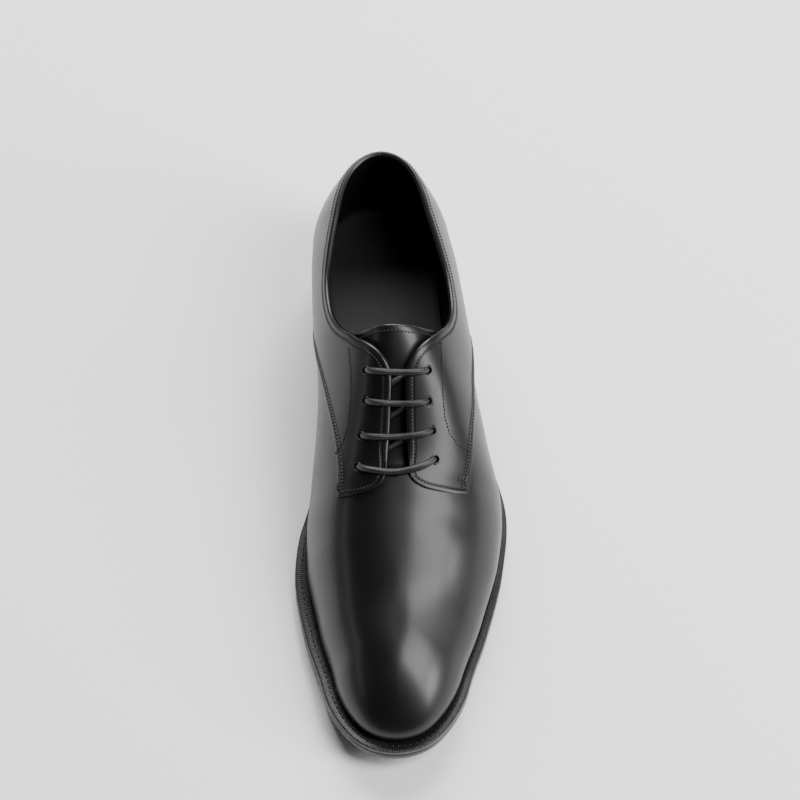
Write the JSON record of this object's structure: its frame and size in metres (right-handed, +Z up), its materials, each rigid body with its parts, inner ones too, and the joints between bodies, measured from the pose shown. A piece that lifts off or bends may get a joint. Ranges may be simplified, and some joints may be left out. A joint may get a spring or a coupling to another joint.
{
  "type": "derby shoe",
  "caption": "Plain-toe leather derby shoe for the left foot: hollow lasted upper with open lacing, tongue, welted leather sole and stacked heel.",
  "frame": {"origin": "on the floor, under the middle of the shoe's box", "axes": "+Z up, toe towards -Y, heel towards +Y, outer side of the foot towards +X"},
  "size_m": [0.1056, 0.3, 0.0992],
  "materials": {
    "box_calf": "polished black box calf",
    "sole_leather": "black edge-dyed sole leather",
    "lining_leather": "soft matt black lining leather",
    "top_piece_rubber": "matt black rubber",
    "waxed_cotton": "round waxed black cotton"
  },
  "bodies": {
    "root": {"outsole": "sole_leather", "welt": "sole_leather", "heel_stack": "sole_leather", "heel_top_piece": "top_piece_rubber", "insole": "lining_leather", "upper": "box_calf", "tongue": "box_calf", "lace": "waxed_cotton"}
  },
  "joints": []
}
